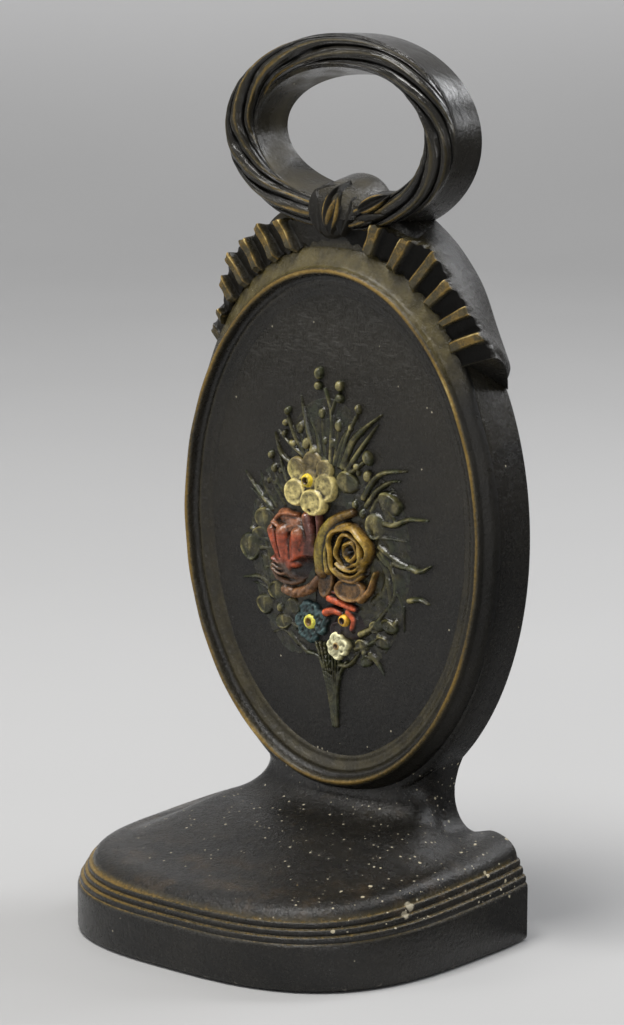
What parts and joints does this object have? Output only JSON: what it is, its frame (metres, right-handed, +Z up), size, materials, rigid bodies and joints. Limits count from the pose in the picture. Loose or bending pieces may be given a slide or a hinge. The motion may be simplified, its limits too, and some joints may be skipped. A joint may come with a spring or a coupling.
{
  "type": "door stop",
  "caption": "Free-standing cast door stop: a flared base carries an upright oval floral medallion with a pleated bow and a ring handle on top.",
  "frame": {"origin": "floor level, under the middle of the bounding box", "axes": "+Z up; +Y towards the door, so the decorated front faces -Y; +X to the right as seen from the front"},
  "size_m": [0.1324, 0.0984, 0.2806],
  "materials": {
    "black_iron": "satin black paint over sand-cast iron, worn at the edges",
    "rim_gilt": "gold rubbed over black paint",
    "wrap_gilt": "gold rubbed over black paint",
    "ribbon_gilt": "gold rubbed over black paint",
    "rose_red": "dull red hand paint",
    "rose_gold": "ochre hand paint",
    "petal_cream": "cream hand paint",
    "petal_blue": "dull blue-green hand paint",
    "petal_scarlet": "scarlet hand paint",
    "petal_white": "off-white hand paint",
    "eye_yellow": "yellow hand paint",
    "eye_brown": "brown hand paint",
    "leaf_green": "dull olive hand paint",
    "rubber": "matt black rubber"
  },
  "bodies": {
    "root": {"iron_casting": "black_iron", "rim_molding": "rim_gilt", "ring_wrap": "wrap_gilt", "ribbon_left": "ribbon_gilt", "ribbon_right": "ribbon_gilt", "ribbon_knot": "ribbon_gilt", "red_rose": "rose_red", "gold_rose": "rose_gold", "cream_blossom": "petal_cream", "cream_blossom_eye": "eye_yellow", "blue_blossom": "petal_blue", "blue_blossom_eye": "eye_yellow", "red_blossom": "petal_scarlet", "red_blossom_eye": "eye_yellow", "white_blossom": "petal_white", "white_blossom_eye": "eye_brown", "leaves_left": "leaf_green", "leaves_right": "leaf_green", "bud_spray": "leaf_green", "stem_bundle": "leaf_green", "foot_front": "rubber", "foot_rear_left": "rubber", "foot_rear_right": "rubber", "door_bumper_left": "rubber", "door_bumper_right": "rubber"}
  },
  "joints": []
}
